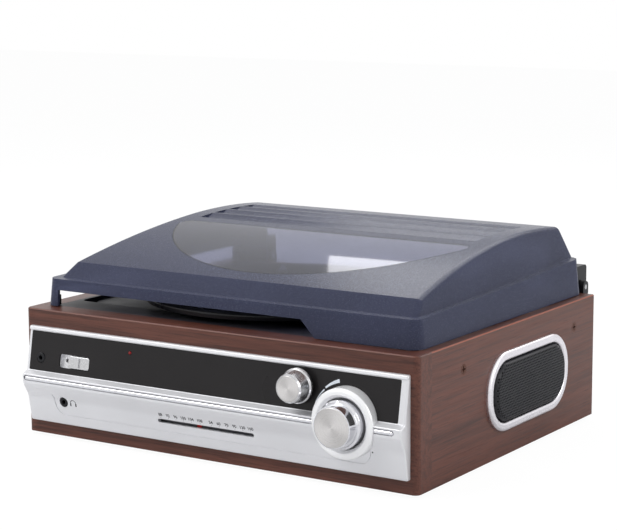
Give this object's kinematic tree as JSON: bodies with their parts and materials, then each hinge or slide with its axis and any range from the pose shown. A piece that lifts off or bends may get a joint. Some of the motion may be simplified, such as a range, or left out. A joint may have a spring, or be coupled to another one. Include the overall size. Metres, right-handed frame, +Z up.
{
  "type": "record player",
  "caption": "Record player with a radio dial in a wooden cabinet, side loudspeakers, tone arm and hinged smoked dust cover.",
  "frame": {"origin": "middle of the table space that the whole machine takes, at the underside of its feet", "axes": "+X to the user's right, +Y from the user to the back, +Z up"},
  "size_m": [0.3608, 0.3222, 0.1562],
  "materials": {
    "black_gloss": "glossy black panel",
    "black_plastic": "fine-grained moulding",
    "board_green": "circuit board",
    "brass_metal": "plain",
    "chrome_plated": "polished plating",
    "copper_screw": "bronze-coloured",
    "deck_plastic": "dark charcoal moulding",
    "grille_metal": "perforated, satin black",
    "painted_basket": "satin black",
    "paper_cone": "pressed paper",
    "raw_board": "bare fibreboard",
    "red_lens": "clear red",
    "red_plastic": "bright",
    "rubber_black": "dull",
    "silver_paint": "silver painted plastic",
    "smoked_cover": "smoked, frosted transparent plastic",
    "smoked_window": "smoked, clear polished plastic",
    "spun_metal": "spun face",
    "steel": "plain",
    "wood_wrap": "satin mahogany-look veneer"
  },
  "bodies": {
    "cabinet": {"arm_base": "black_plastic", "arm_rest": "black_plastic", "back_board": "raw_board", "base_board": "raw_board", "bearing_bush": "brass_metal", "control_board": "board_green", "cord_glands": "rubber_black", "deck_plate": "deck_plastic", "dial_backing": "black_plastic", "dial_rail": "steel", "drive_belt": "rubber_black", "fascia": "silver_paint", "fascia_plate": "black_gloss", "feet": "rubber_black", "front_board": "wood_wrap", "glue_blocks": "raw_board", "hinge_bases": "black_plastic", "hinge_pins": "steel", "hinge_screws": "steel", "inner_screws": "steel", "jacks": "black_plastic", "line_out_sockets": "brass_metal", "main_board": "board_green", "motor": "steel", "motor_grommets": "rubber_black", "power_led": "red_lens", "rear_socket_plate": "black_plastic", "side_boards": "wood_wrap", "side_screws": "copper_screw", "slide_switches": "black_plastic", "speaker_cones": "paper_cone", "speaker_drivers": "painted_basket", "speaker_grilles": "grille_metal", "speaker_rings": "chrome_plated", "transformer": "steel", "trim_strip": "chrome_plated", "tuning_capacitor": "black_plastic", "volume_bezel": "silver_paint", "volume_pot": "steel"},
    "cover": {"lid_shell": "smoked_cover", "lid_window": "smoked_window", "lid_bumpers": "rubber_black", "hinge_arms": "black_plastic"},
    "turntable": {"platter": "black_plastic", "platter_mat": "rubber_black", "spindle": "steel"},
    "pulley": {"motor_pulley": "brass_metal"},
    "tuner": {"tuning_knob": "chrome_plated", "tuning_knob_cap": "spun_metal"},
    "pointer": {"dial_pointer": "red_plastic"},
    "drum": {"tuning_drum": "black_plastic"},
    "volume": {"volume_knob": "chrome_plated", "volume_knob_cap": "spun_metal"},
    "selector": {"selector_slider": "silver_paint"},
    "turret": {"arm_turret": "black_plastic"},
    "arm": {"arm_tube": "black_plastic", "counterweight": "steel", "cartridge": "black_plastic", "stylus": "red_plastic"},
    "speed": {"speed_lever": "black_plastic"}
  },
  "joints": [
    {"name": "lid_hinge", "type": "hinge", "parent": "cabinet", "child": "cover", "pos_m": [0, 0.15115, 0.1047], "axis": [-1, 0, 0], "range_deg": [0, 70]},
    {"name": "platter_spin", "type": "hinge", "parent": "cabinet", "child": "turntable", "pos_m": [-0.023, -0.00285, 0.1005], "axis": [0, 0, 1], "continuous": true},
    {"name": "pulley_spin", "type": "hinge", "parent": "cabinet", "child": "pulley", "pos_m": [-0.08805, 0.0622, 0.1005], "axis": [0, 0, 1], "continuous": true},
    {"name": "tuning_turn", "type": "hinge", "parent": "cabinet", "child": "tuner", "pos_m": [0.0824, -0.13385, 0.0713], "axis": [0, 1, 0], "range_deg": [-286, 439]},
    {"name": "pointer_slide", "type": "slide", "parent": "cabinet", "child": "pointer", "axis": [1, 0, 0], "range_m": [-0.03, 0.046]},
    {"name": "drum_turn", "type": "hinge", "parent": "cabinet", "child": "drum", "pos_m": [0.02, -0.13385, 0.0565], "axis": [0, 1, 0], "range_deg": [-72, 110]},
    {"name": "volume_turn", "type": "hinge", "parent": "cabinet", "child": "volume", "pos_m": [0.1221, -0.13385, 0.0498], "axis": [0, 1, 0], "range_deg": [0, 300]},
    {"name": "selector_slide", "type": "slide", "parent": "cabinet", "child": "selector", "axis": [-1, 0, 0], "range_m": [0, 0.008]},
    {"name": "arm_swing", "type": "hinge", "parent": "cabinet", "child": "turret", "pos_m": [0.119, 0.09915, 0.121], "axis": [0, 0, -1], "range_deg": [0, 38]},
    {"name": "arm_lift", "type": "hinge", "parent": "turret", "child": "arm", "pos_m": [0.119, 0.09915, 0.121], "axis": [-1, 0, 0], "range_deg": [0, 1.5]},
    {"name": "speed_slide", "type": "slide", "parent": "cabinet", "child": "speed", "axis": [0, 1, 0], "range_m": [-0.008, 0.008]}
  ],
  "couplings": [
    {"joint": "pulley_spin", "follows": "platter_spin", "ratio": 12.5},
    {"joint": "pointer_slide", "follows": "tuning_turn", "m_per_rad": 0.006},
    {"joint": "drum_turn", "follows": "tuning_turn", "ratio": 0.24793}
  ]
}
